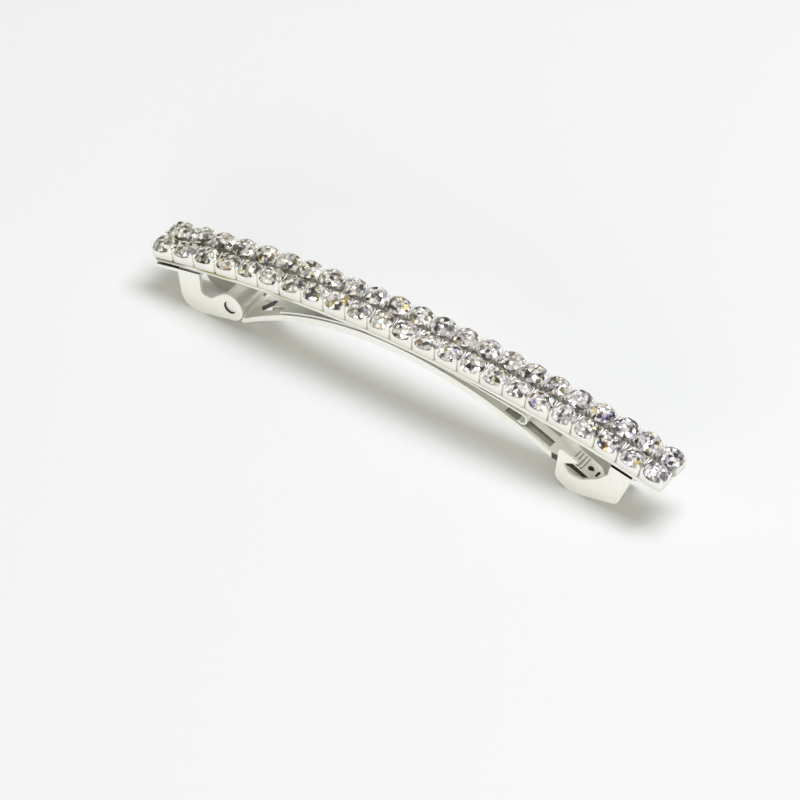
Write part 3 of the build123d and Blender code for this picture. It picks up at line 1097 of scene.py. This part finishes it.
# Painted shade on the inner faces of the cheeks, the flange in the slit, and the hole round each pin
HINGE_SPOTS = (
    DarkSpot((-40, 1.5, -1), (-20, 3.0, 9), Axis.ACROSS, (-1.1, -0.7), 0.19),
    DarkSpot((-41, -1, 4.5), (-30.5, 3.0, 9.5), Axis.UP, (0.7, 1.1), 0.75),
    DarkSpot((-28.6, 1.5, 2.1), (-26.4, 3.0, 4.3), Axis.ACROSS, (-0.5, 0.5), 1.0),
)

# Painted shade on the inner faces of the cheeks and the flange in the slit
CLASP_SPOTS = (
    DarkSpot((20, -1, -1), (40, 3.0, 9), Axis.ACROSS, (-1.1, -0.7), 0.04),
    DarkSpot((29, -1, 5.0), (38, 3.0, 9.5), Axis.UP, (0.7, 1.1), 1.0),
)

# Painted shade on the sides and underside of the head, its ridges and hole, the grooves, and the
# window's walls
TONGUE_SPOTS = (
    DarkSpot((27.5, -1, 0), (30, 3.0, 6), Axis.ACROSS, (0.6, 1.1), 0.4),
    DarkSpot((21.5, -1, 0), (27.5, 3.0, 6), Axis.ACROSS, (0.6, 1.1), 0.95),
    DarkSpot((21.5, -1, 0), (30, 3.0, 6), Axis.UP, (-1.1, -0.5), 0.2),
    DarkSpot((24.3, -1, 1.2), (28.9, 1.25, 6), Axis.UP, (-0.6, 0.62), 1.0),
    DarkSpot((15.0, 0.56, 3), (23.2, 1.69, 12), Axis.UP, (0.5, 1.1), 0.40),
    DarkSpot((15.0, 0.50, 3), (23.2, 1.75, 12), Axis.UP, (-0.5, 0.5), 0.65),
    DarkSpot((-24.5, -1, 1), (-20, 1.4, 4), Axis.UP, (-0.5, 0.5), 0.85),
)


@dataclass
class SheetPiece:
    """A bent sheet-metal piece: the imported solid's form with rounded edges."""

    name: str
    node: str
    finish: bpy.types.Material
    edge: float = 0.07
    segments: int = 2
    # Boxes where shade is painted on the piece
    dark_spots: tuple[DarkSpot, ...] = ()

    def build(self, nodes: dict[str, bpy.types.Object]) -> bpy.types.Object:
        """Merges the solid's mesh, rounds its edges and dresses it.

        Args:
            nodes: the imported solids.

        Returns:
            The piece.
        """
        piece = merged_copy(self.name, nodes[self.node], FLAT_ANGLE)
        self.darken(piece.data)
        soften_edges(piece, self.edge, self.segments)
        piece.data.materials.clear()
        piece.data.materials.append(self.finish)
        return piece

    def darken(self, mesh: bpy.types.Mesh) -> None:
        """Gives each face its painted shade from the dark spots, where a later spot wins.

        Args:
            mesh: the piece's mesh.
        """
        centres = face_vectors(mesh, "center") / MM
        normals = face_vectors(mesh, "normal")
        painted_shade = np.zeros(len(centres))
        for spot in self.dark_spots:
            painted_shade = np.where(spot.covers(centres, normals), spot.painted_shade, painted_shade)
        add_values(mesh, PAINTED_SHADE, "FACE", "FLOAT", painted_shade)


@dataclass(frozen=True)
class SoftLamp:
    """A large rectangular lamp that faces the clip, metres and watts."""

    name: str
    place: tuple[float, float, float]
    size: tuple[float, float]
    power: float
    tint: tuple[float, float, float]

    def build(self) -> None:
        """Hangs the lamp."""
        lamp = bpy.data.lights.new(self.name, "AREA")
        lamp.shape = "RECTANGLE"
        lamp.size, lamp.size_y = self.size
        lamp.energy = self.power
        lamp.color = self.tint
        holder = linked_object(self.name, lamp)
        holder.location = self.place
        holder.rotation_euler = (-holder.location).to_track_quat("-Z", "Y").to_euler()


@dataclass
class Studio:
    """Pale floor, soft light and the camera."""

    floor_half: float = 1500.0
    floor_points: int = 9
    camera_place: tuple = (363.590, -496.332, 552.381)
    camera_right: tuple = (0.80766, 0.58965, -0.00493)
    camera_up: tuple = (-0.39119, 0.54204, 0.74375)
    camera_back: tuple = (0.44123, -0.59877, 0.66844)
    lens: float = 292.5
    sensor_width: float = 36.0
    nearest: float = 50.0
    window_direction: tuple = (-0.35, 0.68, 0.645)
    glow: tuple = ((0.0, 0.24), (0.45, 0.28), (0.72, 0.84), (0.9, 0.92))
    front_direction: tuple = (0.25, -0.93, 0.27)
    front_glow: tuple = ((0.2, 0.0), (0.7, 1.0))
    air_tint: tuple = (1.0, 1.0, 0.86)
    air_strength: float = 0.58
    cloud_scale: float = 3.0
    cloud_detail: float = 1.0
    cloud_levels: tuple = ((0.38, 0.35), (0.47, 0.9), (0.56, 1.0))
    cloud_share: float = 0.7
    lamps: tuple = (
        SoftLamp("overhead", (0.18, 0.105, 0.78), (0.33, 0.54), 4.7, (0.91, 0.92, 1.0)),
        SoftLamp("front_card", (0.25, -0.75, 0.22), (0.60, 0.25), 1.4, (1.0, 0.99, 0.94)),
    )

    def floor(self) -> bpy.types.Object:
        """Makes the floor, a flat and even grid under the clip.

        Returns:
            The floor.
        """
        steps = np.linspace(-self.floor_half, self.floor_half, self.floor_points)
        x, y = np.meshgrid(steps, steps)
        points = np.stack([x, y, np.zeros_like(x)], axis=-1).reshape(-1, 3)
        faces = grid_faces(self.floor_points, self.floor_points, False).tolist()
        floor = make_piece("floor", points, faces, True)
        floor.data.materials.append(FloorFinish("pale_floor").material())
        return floor

    def glow_towards(
        self, tree: Tree, place: bpy.types.NodeSocket, direction: tuple, stops: tuple
    ) -> bpy.types.NodeSocket:
        """Light of the air that grows towards a direction.

        Args:
            tree: the world's tree.
            place: direction that is looked up.
            direction: where the air is brightest.
            stops: cosine of the angle to that direction, and light there.

        Returns:
            The light.
        """
        nearness = tree.vector_math("DOT_PRODUCT", place, direction)
        stops = tinted_stops(stops, self.air_tint)
        return tree.ramp(nearness.outputs["Value"], stops).outputs["Color"]

    def light(self) -> None:
        """Adds the air's light and the soft lamps."""
        world = bpy.data.worlds.new("studio_air")
        bpy.context.scene.world = world
        world.use_nodes = True
        tree = Tree(world.node_tree)
        place = tree.add("ShaderNodeTexCoord").outputs["Generated"]
        glow = self.glow_towards(tree, place, self.window_direction, self.glow)
        front = self.glow_towards(tree, place, self.front_direction, self.front_glow)
        cloud = tree.add(
            "ShaderNodeTexNoise", vector=place, scale=self.cloud_scale, detail=self.cloud_detail
        )
        patches = tree.ramp(cloud.outputs["Fac"], tinted_stops(self.cloud_levels))
        room = tree.mixed("LIGHTEN", 1.0, glow, front)
        air = tree.mixed("MULTIPLY", self.cloud_share, room, patches.outputs["Color"])
        background = world.node_tree.nodes["Background"]
        tree.join(air, background.inputs["Color"])
        background.inputs["Strength"].default_value = self.air_strength
        for lamp in self.lamps:
            lamp.build()

    def camera(self) -> None:
        """Sets the camera where the photograph was taken from."""
        data = bpy.data.cameras.new("camera")
        data.sensor_width = self.sensor_width
        data.lens = self.lens
        data.clip_start = self.nearest * MM
        camera = linked_object("camera", data)
        axes = Matrix((self.camera_right, self.camera_up, self.camera_back)).transposed().to_4x4()
        place = Matrix.Translation([value * MM for value in self.camera_place])
        camera.matrix_world = place @ axes
        bpy.context.scene.camera = camera


def hand_over(piece: bpy.types.Object, body: str, node: str) -> None:
    """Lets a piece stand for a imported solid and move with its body.

    Args:
        piece: the piece.
        body: name of the body.
        node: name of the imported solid.
    """
    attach(piece, body)
    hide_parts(node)
    log.info("%s stands for %s: %d faces", piece.name, node, len(piece.data.polygons))


def main() -> None:
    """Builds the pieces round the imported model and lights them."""
    logging.basicConfig(level=logging.INFO, format="%(name)s: %(message)s")
    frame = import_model()
    bpy.context.scene.view_settings.view_transform = "Standard"
    studio = Studio()
    studio.camera()
    studio.floor()
    studio.light()
    arc = BowArc()
    plating = PlatedFinish("silver_plating").material()
    spring_plating = PlatedFinish("spring_plating", bright=(0.90, 0.90, 0.88)).material()
    crystal = CrystalFinish("foiled_crystal").material()
    row_y = 1.7
    hand_over(Bar(arc, plating).build(), RIGID_BODY, "base_bar")
    front_cups = CupRow("front_cups", arc, plating, -row_y).build()
    hand_over(front_cups, RIGID_BODY, "cup_row_front")
    back_cups = CupRow("back_cups", arc, plating, row_y).build()
    hand_over(back_cups, RIGID_BODY, "cup_row_back")
    front_stones = StoneRow("front_stones", arc, crystal, -row_y, seed=11).build()
    hand_over(front_stones, RIGID_BODY, "stones_front")
    back_stones = StoneRow("back_stones", arc, crystal, row_y, seed=29).build()
    hand_over(back_stones, RIGID_BODY, "stones_back")
    nodes = frame["nodes"]
    hinge = SheetPiece("hinge_plate", "hinge_bracket", plating, dark_spots=HINGE_SPOTS)
    hand_over(hinge.build(nodes), RIGID_BODY, "hinge_bracket")
    clasp = SheetPiece("clasp_hooks", "clasp_bracket", plating, dark_spots=CLASP_SPOTS)
    hand_over(clasp.build(nodes), RIGID_BODY, "clasp_bracket")
    thin_edge = 0.05
    tongue = SheetPiece("swing_tongue", "tongue", plating, thin_edge, dark_spots=TONGUE_SPOTS)
    hand_over(tongue.build(nodes), MOVING_BODY, "tongue")
    spring = SheetPiece("leaf_spring", "tension_spring", spring_plating, thin_edge)
    hand_over(spring.build(nodes), MOVING_BODY, "tension_spring")


if __name__ == "__main__":
    main()
